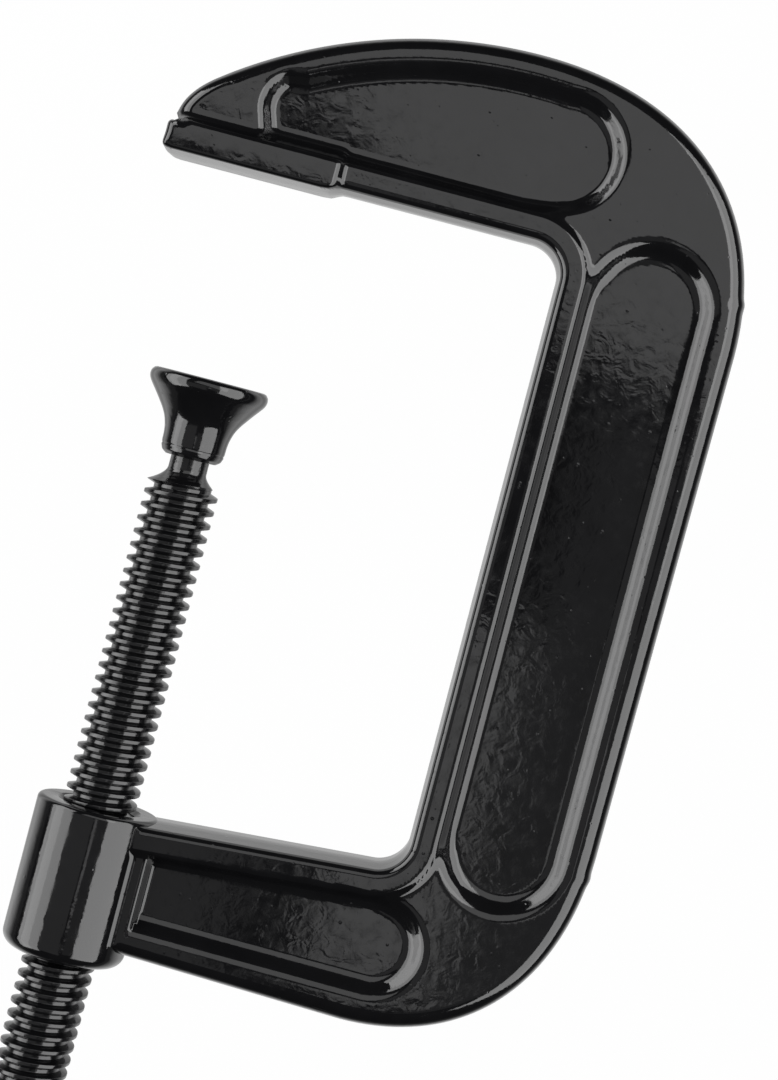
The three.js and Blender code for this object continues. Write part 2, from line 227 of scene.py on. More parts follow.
def casting_outline():
    """The casting's outline at its parting line, counterclockwise.

    Returns its points and their inward directions, draft angles and edge roundings.
    """
    r = THROAT_CORNER_R
    low = arm_inner(THROAT_X - r)
    back = np.array([JAW_TOP[0], JAW_TOP[1] - JAW_BACK_R])
    back_start = math.degrees(math.acos((JAW_BACK_START_X - back[0]) / JAW_BACK_R))
    nose_turn = math.radians(back_start)
    nose = back + JAW_BACK_R * np.array([math.cos(nose_turn), math.sin(nose_turn)])
    tip, tip_r = ANVIL_TIP_X, ANVIL_TIP_R
    nose_end = np.array((tip + NOSE_MEETS[0], ANVIL_TOP + NOSE_MEETS[1]))
    stretches = [
        (line((ARM_ROOT_X, ARM_OUTER_AT_BOSS), (ARM_HEEL_X, ARM_OUTER_Y)), *OUTER_EDGE),
        (corner((ARM_HEEL_X, ARM_OUTER_Y), SPINE_BOTTOM, (SPINE_BOTTOM[0], ARM_OUTER_Y)), *OUTER_EDGE),
        (line(SPINE_BOTTOM, SPINE_TOP), *OUTER_EDGE),
        (corner(SPINE_TOP, JAW_TOP, (SPINE_TOP[0], JAW_TOP[1])), *OUTER_EDGE),
        (arc(back, JAW_BACK_R, 90, back_start, 60), *OUTER_EDGE),
        (bezier(nose, nose + NOSE_LEAVES, np.array(NOSE_BEND), nose_end, 20), *NOSE_EDGE),
        (arc((tip + tip_r, ANVIL_TOP - tip_r), tip_r, 80, 180, 8), *TIP_EDGE),
        (line((tip, ANVIL_TOP - tip_r), (tip, tip_r)), *TIP_EDGE),
        (arc((tip + tip_r, tip_r), tip_r, 180, 270, 8), *TIP_CORNER_EDGE),
        (line((tip + tip_r, 0), (ANVIL_HEEL_X, 0)), *ANVIL_EDGE),
        (line((ANVIL_HEEL_X, 0), (ANVIL_HEEL_X + ANVIL_RAMP, THROAT_TOP)), *RAMP_EDGE),
        (line((ANVIL_HEEL_X + ANVIL_RAMP, THROAT_TOP), (THROAT_X - r, THROAT_TOP)), *THROAT_EDGE),
        (arc((THROAT_X - r, THROAT_TOP - r), r, 90, 0), *THROAT_EDGE),
        (line((THROAT_X, THROAT_TOP - r), (THROAT_X, low + r)), *THROAT_EDGE),
        (arc((THROAT_X - r, low + r), r, 0, -86), *THROAT_EDGE),
        (line((THROAT_X - r, low), (ARM_ROOT_X, arm_inner(ARM_ROOT_X))), *THROAT_EDGE),
        (line((ARM_ROOT_X, arm_inner(ARM_ROOT_X)), (ARM_ROOT_X, ARM_OUTER_AT_BOSS)), *ARM_ROOT_EDGE),
    ]
    points, draft, rounding = [], [], []
    for shape, angle, edge in stretches:
        p = resample(shape, FINE)
        points.append(p)
        draft.append(np.full(len(p), math.radians(angle)))
        rounding.append(np.full(len(p), edge))
    points, draft, rounding = (np.concatenate(rows) for rows in (points, draft, rounding))
    window = np.ones(5) / 5
    smooth = [np.convolve(np.concatenate([a[-2:], a, a[:2]]), window, "valid") for a in (draft, rounding)]
    along = np.roll(points, -1, 0) - np.roll(points, 1, 0)
    along /= np.linalg.norm(along, axis=1, keepdims=True)
    inward = np.stack([-along[:, 1], along[:, 0]], 1)
    for x, y, height, width in FLASH:
        apart = np.hypot(*(points - (x, y)).T)
        points = points - inward * (height * np.exp(-(apart / width) ** 2))[:, None]
    return points, inward, *smooth


def pocket_outlines():
    """The floors of the jaw's, spine's and arm's pockets.

    On the throat's side each runs on under the rail, whose wall then bounds it.
    """
    jaw_low = THROAT_TOP + RAIL_FLAT
    jaw_centre = np.array([JAW_TOP[0], JAW_TOP[1] - JAW_BACK_R])
    jaw = np.concatenate([
        arc(*JAW_POCKET_HEEL, -75, 85, 96),
        arc(jaw_centre, JAW_BACK_R - JAW_POCKET_BACK, 85.5, 117.6, 180),
        arc(*JAW_POCKET_TIP, 130, 200),
        [(x, jaw_low) for x in JAW_POCKET_X],
    ])
    spine_x = THROAT_X + RAIL_FLAT
    spine = np.concatenate([
        arc(*SPINE_POCKET_TOP, 0, 150, 96),
        [(spine_x, y) for y in SPINE_POCKET_Y],
        arc(*SPINE_POCKET_END, 210, 360, 96),
    ])
    arm_y = ARM_INNER_Y - RAIL_FLAT
    arm = np.concatenate([
        [ARM_POCKET_SQUARE],
        arc(*ARM_POCKET_END, -90, 75, 64),
        [(ARM_POCKET_INNER_X, arm_y - ARM_POCKET_INNER_DROP[0]),
         (ARM_POCKET_SQUARE[0], arm_y - ARM_POCKET_INNER_DROP[1])],
    ])
    return jaw, spine, arm


def outline_distance(points, outline):
    """Signed distance of each point to a closed outline, negative inside."""
    a, b = outline, np.roll(outline, -1, 0)
    edge = b - a
    length2 = np.maximum((edge ** 2).sum(1), 1e-12)
    out = np.empty(len(points))
    for first in range(0, len(points), BLOCK):
        p = points[first:first + BLOCK, None]
        t = np.clip(((p - a) * edge).sum(2) / length2, 0, 1)
        d = np.sqrt((((p - a) - t[..., None] * edge) ** 2).sum(2).min(1))
        x, y = p[:, :, 0], p[:, :, 1]
        crosses = ((a[:, 1] > y) != (b[:, 1] > y))
        rise = np.where(np.abs(edge[:, 1]) < 1e-12, 1e-12, edge[:, 1])
        inside = (crosses & (x < a[:, 0] + (y - a[:, 1]) * edge[:, 0] / rise)).sum(1) % 2 == 1
        out[first:first + BLOCK] = np.where(inside, -d, d)
    return out


def throat_distance(x, y):
    """Distance from the throat's edge into the metal."""
    r = THROAT_CORNER_R
    beyond = np.maximum(x - (THROAT_X - r), 0)
    above = np.hypot(beyond, np.maximum(y - (THROAT_TOP - r), 0))
    slope = math.hypot(1, ARM_SLOPE)
    under = (arm_inner(x) - y) / slope + r
    low = arm_inner(THROAT_X - r) + r
    below = np.where(x > THROAT_X - r, np.hypot(beyond, np.maximum(low - y, 0)), under)
    above = np.where(x > THROAT_X - r, above, y - (THROAT_TOP - r))
    return np.where(y > (THROAT_TOP + ARM_INNER_Y) / 2, above, below) - r


# --- height of the casting's surface above its parting plane ------------------------------------------------


def step_down(x, drop, convex, concave, steepest=RAIL_STEEPEST):
    """How far a wall has come down at x, drop in all.

    It is a convex arc, a straight stretch if it gets as steep as steepest degrees, and a concave arc.
    """
    turn = np.minimum(np.arccos(np.clip(1 - drop / (convex + concave), -1, 1)), math.radians(steepest))
    straight = np.maximum(drop - (convex + concave) * (1 - np.cos(turn)), 0)
    begin = convex * np.sin(turn)
    end = begin + straight / np.maximum(np.tan(turn), 1e-6)
    width = end + concave * np.sin(turn)
    first = convex - np.sqrt(np.maximum(convex ** 2 - np.clip(x, 0, convex) ** 2, 0))
    second = convex * (1 - np.cos(turn)) + (x - begin) * np.tan(turn)
    left = np.clip(width - x, 0, concave)
    third = drop - (concave - np.sqrt(np.maximum(concave ** 2 - left ** 2, 0)))
    return np.select([x <= 0, x < begin, x < end, x < width], [0 * x, first, second, third], drop)


def wall_width(drop, rounding, steepest):
    """Width of a wall with the same arc at its top and foot."""
    turn = math.radians(steepest)
    return 2 * rounding * math.sin(turn) + (drop - 2 * rounding * (1 - math.cos(turn))) / math.tan(turn)


# Each pocket's floor, and its wall's rounding and steepest angle.
POCKETS = [(floor, *wall) for floor, wall in zip(pocket_outlines(), POCKET_WALLS)]


def level(points):
    """The surface away from the casting's outer edges."""
    x, y = points[:, 0], points[:, 1]
    plate = np.full(len(points), LAND_HALF)
    for outline, rounding, steepest in POCKETS:
        wall = wall_width(POCKET_DEPTH, rounding, steepest)
        low, high = outline.min(0) - wall, outline.max(0) + wall
        near = np.nonzero(((points > low) & (points < high)).all(1))[0]
        if len(near):
            inset = wall - outline_distance(points[near], outline)
            depth = step_down(inset, POCKET_DEPTH, rounding, rounding, steepest)
            square_end = step_down(x[near] - ARM_POCKET_X, POCKET_DEPTH, *ARM_POCKET_ROUND)
            lean_share = np.clip((JAW_LEAN_END - x[near]) / JAW_LEAN_RUN, 0, 1)
            lean = JAW_FLOOR_LEAN * (JAW_LEAN_TOP - y[near]) * lean_share / POCKET_DEPTH
            depth *= 1 + np.where(y[near] > THROAT_TOP, lean, 0)
            plate[near] -= np.where(y[near] < ARM_INNER_Y, np.minimum(depth, square_end), depth)
    anvil = ANVIL_HALF - ANVIL_CROWN * np.clip(y - 2, 0, ANVIL_TOP) ** 2
    rail = anvil - step_down(x - HEEL_X, anvil - RAIL_HALF, HEEL_CONVEX, HEEL_CONCAVE)
    rail = np.where(y > ARM_INNER_Y / 2, rail, RAIL_HALF)
    z = rail - step_down(throat_distance(x, y) - RAIL_FLAT, rail - plate, RAIL_CONVEX, RAIL_CONCAVE)

    # The fillet between the arm and the boss, and the arm's end, which dips into the boss's wall.
    far = BOSS_R + BOSS_FILLET
    start = np.sqrt(np.maximum(far ** 2 - (z + BOSS_FILLET) ** 2, 0))
    end = start * BOSS_R / far
    flare = z + BOSS_FILLET - np.sqrt(np.maximum(BOSS_FILLET ** 2 - (x - start) ** 2, 0))
    wall = np.sqrt(np.maximum(BOSS_R ** 2 - x ** 2, 0)) - BOSS_WALL_DIP * (end - x)
    at_boss = np.where(x > start, z, np.where(x > end, flare, wall))
    return np.where(y < ARM_INNER_Y, at_boss, z)


def edge_profile(e, top, draft, rounding):
    """Height and slope at a distance e from the outline, of a drafted wall that rounds over into a level."""
    middle = (rounding + (top - rounding) * np.sin(draft)) / np.cos(draft)
    tangent = middle - rounding * np.cos(draft)
    rise = np.sqrt(np.maximum(rounding ** 2 - (e - middle) ** 2, 1e-9))
    height = np.where(e < tangent, e / np.tan(draft), np.where(e < middle, top - rounding + rise, top))
    slope = np.where(e < tangent, 1 / np.tan(draft), np.where(e < middle, (middle - e) / rise, 0))
    return height, slope, tangent, middle


def level_slope(points, step=0.04):
    dx, dy = np.array([step, 0]), np.array([0, step])
    return np.stack([
        (level(points + dx) - level(points - dx)) / (2 * step),
        (level(points + dy) - level(points - dy)) / (2 * step),
    ], 1)


def edge_rows(outline, inward, draft, rounding):
    """Rows of points up the drafted wall and round onto the level, with their heights and slopes."""
    top = level(outline + inward)
    tangent, middle = edge_profile(np.zeros(len(outline)), top, draft, rounding)[2:]
    rows = [share * tangent for share in WALL_ROWS]
    for i in range(1, ARC_ROWS + 1):
        rows.append(tangent + (middle - tangent) * (1 - math.cos(math.pi / 2 * i / ARC_ROWS)))
    rows.append(middle + LEVEL_ROW)

    points, heights, slopes = [], [], []
    for e in rows:
        at = outline + inward * e[:, None]
        own = outline_distance(at, outline)
        keep = -own > e - 0.04
        at, e = at[keep], e[keep]
        height, slope, edge, _ = edge_profile(e, level(at), draft[keep], rounding[keep])
        points.append(at)
        heights.append(height)
        slopes.append(inward[keep] * slope[:, None] + level_slope(at) * (e >= edge)[:, None])
    return np.concatenate(points), np.concatenate(heights), np.concatenate(slopes), middle


def level_grid(outline, middle):
    """Grid points inside the rounded edge: fine where the surface curves and coarse where it is flat."""
    low, high = outline.min(0), outline.max(0)
    ix = np.arange(math.floor(low[0] / FINE), math.ceil(high[0] / FINE) + 1)
    iy = np.arange(math.floor(low[1] / FINE), math.ceil(high[1] / FINE) + 1)
    grid_x, grid_y = (a.ravel() for a in np.meshgrid(ix, iy, indexing="ij"))
    at = np.stack([grid_x, grid_y], 1) * FINE
    clear = -outline_distance(at, outline)
    inside = clear > 1.5
    at, clear, grid_x, grid_y = at[inside], clear[inside], grid_x[inside], grid_y[inside]
    nearest = np.empty(len(at), int)
    for first in range(0, len(at), BLOCK):
        block = at[first:first + BLOCK, None]
        nearest[first:first + BLOCK] = ((block - outline) ** 2).sum(2).argmin(1)
    inside = clear > middle[nearest] + GRID_CLEARANCE
    at, grid_x, grid_y = at[inside], grid_x[inside], grid_y[inside]
    slope = level_slope(at)
    curved = np.abs(slope).max(1) > 1e-4
    # A flat point beside a curved one stays too.
    taken = set(zip(grid_x[curved].tolist(), grid_y[curved].tolist()))
    beside = [(i, j) for i in (-1, 0, 1) for j in (-1, 0, 1)]
    keep = np.array([
        (x % COARSE == 0 and y % COARSE == 0) or any((x + i, y + j) in taken for i, j in beside)
        for x, y in zip(grid_x.tolist(), grid_y.tolist())
    ])
    return at[keep], level(at[keep]), slope[keep]


def casting_sheets():
    """The front and back of the casting, which meet at the parting line."""
    outline, inward, draft, rounding = casting_outline()
    n = len(outline)
    row_points, row_heights, row_slopes, middle = edge_rows(outline, inward, draft, rounding)
    grid_points, grid_heights, grid_slopes = level_grid(outline, middle)

    flat = np.concatenate([outline, row_points, grid_points])
    height = np.concatenate([np.zeros(n), row_heights, grid_heights])
    slopes = np.concatenate([row_slopes, grid_slopes])
    normals = np.concatenate([
        np.concatenate([-inward, np.zeros((n, 1))], 1),
        np.concatenate([-slopes, np.ones((len(slopes), 1))], 1),
    ])
    normals /= np.linalg.norm(normals, axis=1, keepdims=True)
    result = geometry.delaunay_2d_cdt(
        [Vector(p) for p in flat.tolist()], [(i, (i + 1) % n) for i in range(n)], [], 1, 1e-5)
    made, faces, origins = result[0], result[2], result[3]

    source = np.array([o[0] if o else -1 for o in origins])
    good = source >= 0
    xy = np.array([tuple(v) for v in made])
    z = np.where(good, height[source], 0)
    normal = np.where(good[:, None], normals[source], (0, 0, 1))
    front = np.column_stack([xy, z])
    triangles = np.array([f for f in faces if len(f) == 3])
    a, b, c = (xy[triangles[:, i]] for i in range(3))
    area = (b - a)[:, 0] * (c - a)[:, 1] - (b - a)[:, 1] * (c - a)[:, 0]
    triangles[area < 0] = triangles[area < 0][:, ::-1]
    points = np.concatenate([front, front * (1, 1, -1)])
    faces = np.concatenate([triangles, triangles[:, ::-1] + len(front)])
    return points, faces, np.concatenate([normal, normal * (1, 1, -1)])


# --- turned shapes ------------------------------------------------------------------------------------------


def rounded_profile(corners, steps=6):
    """Profile points (radius, height) of corners (radius, height, rounding)."""
    points = []
    for i, (r, y, rounding) in enumerate(corners):
        here = np.array([r, y], float)
        if rounding == 0 or i in (0, len(corners) - 1):
            points.append(here)
            continue
        back = np.array(corners[i - 1][:2], float) - here
        on = np.array(corners[i + 1][:2], float) - here
        back /= np.linalg.norm(back)
        on /= np.linalg.norm(on)
        half = math.acos(float(np.clip(back @ on, -1, 1))) / 2
        reach = rounding / math.tan(half)
        centre = here + (back + on) / np.linalg.norm(back + on) * rounding / math.sin(half)
        start, end = here + back * reach - centre, here + on * reach - centre
        turn = math.atan2(start[0] * end[1] - start[1] * end[0], start @ end)
        for k in range(steps + 1):
            t = turn * k / steps
            points.append(centre + (start[0] * math.cos(t) - start[1] * math.sin(t),
                                    start[0] * math.sin(t) + start[1] * math.cos(t)))
    return np.array(points)


def spline(points, steps):
    """A smooth line through the points."""
    before = np.concatenate([[2 * points[0] - points[1]], points[:-1]])
    after = np.concatenate([points[1:], [2 * points[-1] - points[-2]]])
    slope = (after - before) / 2
    made = []
    for a, b, da, db in zip(points[:-1], points[1:], slope[:-1], slope[1:]):
        t = np.linspace(0, 1, steps + 1)[:-1, None]
        made.append((2 * t ** 3 - 3 * t ** 2 + 1) * a + (t ** 3 - 2 * t ** 2 + t) * da
                    + (3 * t ** 2 - 2 * t ** 3) * b + (t ** 3 - t ** 2) * db)
    return np.concatenate([*made, points[-1:]])


def ball_arc(r, centre_y, start, end, steps=16):
    t = np.radians(np.linspace(start, end, steps + 1))
    return np.stack([r * np.cos(t), centre_y + r * np.sin(t)], 1)


def turned(profile, steps=96):
    """A surface of revolution about Y. The profile runs upwards on the outside."""
    profile = np.asarray(profile, float)
    angle = 2 * math.pi * np.arange(steps) / steps
    r, y = profile[:, 0][:, None], profile[:, 1][:, None] + 0 * angle
    points = np.stack([r * np.sin(angle), y, r * np.cos(angle)], 2).reshape(-1, 3)
    return points, ring_faces(len(profile), steps)


def ring_faces(rows, steps, shift=0):
    """Triangles between rows of points around an axis. Past the last column comes column 0, shift rows on."""
    row, column = (a.ravel() for a in np.meshgrid(np.arange(rows - 1), np.arange(steps), indexing="ij"))

    def index(r, c):
        wrapped = c == steps
        return np.minimum(r + shift * wrapped, rows - 1) * steps + np.where(wrapped, 0, c)

    a, b = index(row, column), index(row, column + 1)
    c, d = index(row + 1, column + 1), index(row + 1, column)
    return np.concatenate([np.stack([a, b, c], 1), np.stack([a, c, d], 1)])


def wound(ridge, low, high, shape, steps=THREAD_STEPS):
    """A right-handed helical surface about Y.

    ridge is one pitch of (radius, height), and shape(r, y) trims the radii.
    """
    rows = len(ridge)
    turns = np.arange(math.floor((low - LINE_AT) / PITCH) - 3, math.ceil((high - LINE_AT) / PITCH) + 3)
    heights = (ridge[None, :, 1] + turns[:, None] * PITCH).ravel() + LINE_AT
    radii = np.tile(ridge[:, 0], len(turns))
    column = np.arange(steps)
    y = np.clip(heights[:, None] + PITCH * column / steps, low, high)
    r = shape(np.repeat(radii[:, None], steps, 1), y)
    angle = 2 * math.pi * column / steps
    points = np.stack([r * np.sin(angle), y, r * np.cos(angle)], 2).reshape(-1, 3)
    return points, ring_faces(len(radii), steps, rows)


def ridge_profile(root_r, crest_r, crest_half, rounding):
    """One pitch of a trapezoidal ridge, from the middle of a groove to the middle of the next."""
    root_half = crest_half + (crest_r - root_r) * FLANK_SLOPE
    profile = rounded_profile([
        (root_r, -PITCH / 2, 0), (root_r, -root_half, rounding), (crest_r, -crest_half, rounding),
        (crest_r, crest_half, rounding), (root_r, root_half, rounding), (root_r, PITCH / 2, 0),
    ], steps=3)
    return profile[:-1]


def face_normals(points, faces):
    """Normals of the vertices, by the areas of the faces around them."""
    a, b, c = (points[faces[:, i]] for i in range(3))
    cross = np.cross(b - a, c - a)
    normals = np.zeros_like(points)
    for i in range(3):
        np.add.at(normals, faces[:, i], cross)
    length = np.linalg.norm(normals, axis=1, keepdims=True)
    return np.where(length > 1e-12, normals / np.maximum(length, 1e-12), (0, 1, 0))


def welded(*shells):
    """Shells as one, with points that meet made one and faces without area dropped, and their normals."""
    shells = [s if len(s) == 3 else (*s, None) for s in shells]
    offset, points, faces = 0, [], []
    for p, f, _ in shells:
        points.append(p)
        faces.append(f + offset)
        offset += len(p)
    points, faces = np.concatenate(points), np.concatenate(faces)
    _, first, merged = np.unique(np.round(points, 3), axis=0, return_index=True, return_inverse=True)
    faces = merged.ravel()[faces]
    points = points[first]
    faces = faces[(faces[:, 0] != faces[:, 1]) & (faces[:, 1] != faces[:, 2]) & (faces[:, 2] != faces[:, 0])]
    normals = face_normals(points, faces)
    given = np.concatenate([np.full((len(p), 3), np.nan) if n is None else n for p, _, n in shells])[first]
    return points, faces, np.where(np.isnan(given), normals, given)


# --- pieces -------------------------------------------------------------------------------------------------


def add_piece(name, shell, material, node, body):
    points, faces, normals = shell
    used, faces = np.unique(faces, return_inverse=True)
    faces = faces.reshape(-1, 3)
    mesh = bpy.data.meshes.new(name)
    mesh.from_pydata((points[used] * MM).tolist(), [], faces.tolist())
    mesh.update()
    mesh.shade_smooth()
    mesh.normals_split_custom_set_from_vertices(normals[used].tolist())
    mesh.materials.append(material)
    piece = bpy.data.objects.new(name, mesh)
    bpy.context.scene.collection.objects.link(piece)
    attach(piece, body)
    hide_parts(node)
    return piece


def boss_shell():
    outside = turned(rounded_profile([
        (BORE_MOUTH_R, BOSS_END, 0), (BOSS_R, BOSS_END, BOSS_ROUND[0]),
        (BOSS_R, BOSS_TOP, BOSS_ROUND[1]), (BORE_MOUTH_R, BOSS_TOP, 0),
    ], steps=10), THREAD_STEPS * 2)

    def mouth(r, y):
        depth = np.minimum(y - BOSS_END, BOSS_TOP - y)
        return np.maximum(r, BORE_MOUTH_R - depth)

    ridge = ridge_profile(ROOT_R + THREAD_GAP, CREST_R + THREAD_GAP,
                          CREST_HALF + THREAD_GAP - 2 * THREAD_GAP * FLANK_SLOPE, BORE_THREAD_ROUND)
    points, faces = wound(ridge, BOSS_END, BOSS_TOP, mouth, THREAD_STEPS * 2)
    return welded(outside, (points, faces[:, ::-1]))


def screw_shell():
    top = BALL_Y + BALL_R

    def shank(r, y):
        up = y - BALL_Y
        ball = np.sqrt(np.maximum(BALL_R ** 2 - up ** 2, 0))
        fall = np.clip((NECK_END - up) / (NECK_END - SHANK_START), 0, 1)
        cone = NECK_R + (CREST_R + 0.3 - NECK_R) * fall ** SHANK_FLARE
        neck = np.where(up > -BALL_R, np.maximum(ball, np.where(up < 0, NECK_R, 0)), cone)
        start, length, depth = RUNOUT
        runout = ROOT_R + depth * np.clip((up - THREAD_END - start) / length, 0, 1)
        inside_head = np.where(up < THREAD_END - 2, 0.0, np.inf)
        return np.minimum(np.minimum(np.where(up > NECK_END, neck, np.minimum(r, neck)), runout), inside_head)

    points, faces = wound(ridge_profile(ROOT_R, CREST_R, CREST_HALF, THREAD_ROUND),
                          BALL_Y + THREAD_END - 4, top, shank)
    head = turned(rounded_profile([
        (0, SCREW_END_Y, 0), (HEAD_R, SCREW_END_Y, HEAD_ROUND[0]),
        (HEAD_R, BALL_Y + THREAD_END, HEAD_ROUND[1]), (ROOT_R - 1, BALL_Y + THREAD_END + 0.6, 0),
    ], steps=8))
    return (points, faces), head


def bored_head(head):
    """The screw's head with its cross eye, whose mouths are chamfered."""
    shell = welded(head)
    mesh = bpy.data.meshes.new("head")
    mesh.from_pydata((shell[0] * MM).tolist(), [], shell[1].tolist())
    body = bpy.data.objects.new("head", mesh)
    bpy.context.scene.collection.objects.link(body)
    flat = math.sqrt(HEAD_R ** 2 - EYE_R ** 2)
    points, faces, _ = welded(turned([
        (0, -HEAD_R - 2), (EYE_R + HEAD_R + 2 - flat, -HEAD_R - 2), (EYE_R, -flat),
        (EYE_R, flat), (EYE_R + HEAD_R + 2 - flat, HEAD_R + 2), (0, HEAD_R + 2),
    ], 64))
    points = np.stack([points[:, 1], -points[:, 0] + EYE_Y, points[:, 2]], 1)
    drill_mesh = bpy.data.meshes.new("drill")
    drill_mesh.from_pydata((points * MM).tolist(), [], faces.tolist())
    drill = bpy.data.objects.new("drill", drill_mesh)
    bpy.context.scene.collection.objects.link(drill)
    cut = body.modifiers.new("eye", "BOOLEAN")
    cut.operation = "DIFFERENCE"
    cut.object = drill
    cut.solver = "EXACT"
    evaluated = body.evaluated_get(bpy.context.evaluated_depsgraph_get())
    result = evaluated.to_mesh()
    result.calc_loop_triangles()
    points = np.array([v.co for v in result.vertices]) / MM
    faces = np.array([t.vertices[:] for t in result.loop_triangles])
    evaluated.to_mesh_clear()
    for thing in (body, drill):
        bpy.data.objects.remove(thing)
    # The eye's own walls get their own normals, so that its edges stay crisp.
    around = np.hypot(points[faces][:, :, 1] - EYE_Y, points[faces][:, :, 2]).mean(1)
    across = np.hypot(points[faces][:, :, 0], points[faces][:, :, 2]).mean(1)
    low_y = points[faces][:, :, 1].mean(1)
    bore = (around < EYE_R + 2.5) & (across < HEAD_R - 0.02) & (np.abs(low_y - EYE_Y) < EYE_R + 2.5)
    split = faces.copy()
    split[bore] += len(points)
    points = np.concatenate([points, points])
    return points, split, face_normals(points, split)


def pad_shell():
    low, top = PAD_LOW[1], PAD_HIGH[1]
    flare = spline(np.array(PAD_FLARE), 6) + (0, top)
    swage = [(r, top + height, rounding) for r, height, rounding in SWAGE]
    skirt = rounded_profile(
        [(SOCKET_MOUTH_R, low, 0), (SOCKET_LIP_R, low, 0.4), *swage, (*flare[0].tolist(), 0)], steps=6)
    outside = np.concatenate([skirt[:-1], flare, [(PAD_FACE_R, top), (0, top)]])
    socket = ball_arc(SOCKET_R, BALL_Y, 90, -math.degrees(math.acos(SOCKET_MOUTH_R / SOCKET_R)))
    return welded(turned(np.concatenate([socket, outside])))


def across(shell):
    """A shape turned about Y, laid along X at the height of the eye."""
    points, faces, normals = shell
    return (np.stack([points[:, 1], -points[:, 0] + EYE_Y, points[:, 2]], 1), faces,
            np.stack([normals[:, 1], -normals[:, 0], normals[:, 2]], 1))


def bar_shell():
    r, half, spigot = BAR_HIGH[2], KNOB_LOW[0] - SPIGOT_GAP, SPIGOT_R
    end = BAR_HIGH[0]
    return across(welded(turned(rounded_profile([
        (0, -end, 0), (spigot, -end, 0.3), (spigot, -half, 0.2), (r, -half, 0.4),
        (r, half, 0.4), (spigot, half, 0.2), (spigot, end, 0.3), (0, end, 0),
    ], steps=4))))


def knob_shell(side):
    r = KNOB_HIGH[2]
    mouth, tip = KNOB_LOW[0], KNOB_HIGH[0]
    bore_r, depth = KNOB_BORE
    profile = rounded_profile([
        (0, mouth + depth, 0), (bore_r, mouth + depth, 0.2), (bore_r, mouth, 0.25),
        (KNOB_MOUTH_R, mouth, 0.6), (r, mouth + KNOB_NECK, 1.6), (r, tip - r + 0.4, 0.8),
    ], steps=6)
    dome = ball_arc(r, tip - r, 6, 90)
    points, faces, normals = across(welded(turned(np.concatenate([profile, dome]))))
    if side < 0:
        points, faces, normals = points * (-1, 1, 1), faces[:, ::-1], normals * (-1, 1, 1)
    return points, faces, normals


# --- materials ----------------------------------------------------------------------------------------------


class Nodes:
    """Shader nodes of one material."""

    def __init__(self, name):
        self.material = bpy.data.materials.new(name)
        self.material.use_nodes = True
        self.tree = self.material.node_tree
        self.shader = self.tree.nodes["Principled BSDF"]
        self.place = self.new("ShaderNodeTexCoord").outputs["Object"]

    def new(self, kind, **values):
        node = self.tree.nodes.new(kind)
        for key, value in values.items():
            if hasattr(node, key):
                setattr(node, key, value)
        return node

    def link(self, a, b):
        self.tree.links.new(a, b)

    def noise(self, size, detail=2.0, roughness=0.5, distortion=0.0, stretch=None):
        """Noise whose features are about size millimetres across."""
        node = self.new("ShaderNodeTexNoise")
        place = self.place
        if stretch:
            mapping = self.new("ShaderNodeMapping")
            mapping.inputs["Scale"].default_value = stretch
            self.link(place, mapping.inputs["Vector"])
            place = mapping.outputs["Vector"]
        self.link(place, node.inputs["Vector"])
        node.inputs["Scale"].default_value = 1 / (size * MM)
        node.inputs["Detail"].default_value = detail
        node.inputs["Roughness"].default_value = roughness
        node.inputs["Distortion"].default_value = distortion
        return node.outputs["Fac"]

    def specks(self, size, share):
        """Small round specks, 1 in their middles, in about share of the cells."""
        cells = self.new("ShaderNodeTexVoronoi")
        self.link(self.place, cells.inputs["Vector"])
        cells.inputs["Scale"].default_value = 1 / (size * MM)
        dot = self.ramp(cells.outputs["Distance"], 0.0, 0.22, 1.0, 0.0)
        split = self.new("ShaderNodeSeparateColor")
        self.link(cells.outputs["Color"], split.inputs["Color"])
        chosen = self.ramp(split.outputs["Red"], 1 - share, 1 - share + 0.02, 0.0, 1.0)
        return self.maths("MULTIPLY", dot, chosen)

    def ramp(self, value, low, high, to_low, to_high):
        node = self.new("ShaderNodeMapRange")
        node.interpolation_type = "SMOOTHSTEP"
        self.link(value, node.inputs["Value"])
        for name, number in (("From Min", low), ("From Max", high), ("To Min", to_low), ("To Max", to_high)):
            node.inputs[name].default_value = number
        return node.outputs["Result"]

    def maths(self, operation, a, b):
        node = self.new("ShaderNodeMath", operation=operation)
        for socket, value in zip(node.inputs, (a, b)):
            if isinstance(value, (int, float)):
                socket.default_value = value
            else:
                self.link(value, socket)
        return node.outputs["Value"]

    def bump(self, height, depth, before=None):
        """A bump whose full height is depth millimetres."""
        node = self.new("ShaderNodeBump")
        node.inputs["Strength"].default_value = 1.0
        node.inputs["Distance"].default_value = depth * MM
        self.link(height, node.inputs["Height"])
        if before:
            self.link(before, node.inputs["Normal"])
        return node.outputs["Normal"]

    def colour(self, value, dark, light):
        node = self.new("ShaderNodeMix")
        node.data_type = "RGBA"
        node.inputs["A"].default_value = (*dark, 1)
        node.inputs["B"].default_value = (*light, 1)
        self.link(value, node.inputs["Factor"])
        return node.outputs["Result"]


DEEP_BLACK = (0.0016, 0.0016, 0.0018)
WORN_BLACK = (0.0045, 0.0045, 0.005)
EDGE_GREY = (0.05, 0.05, 0.052)


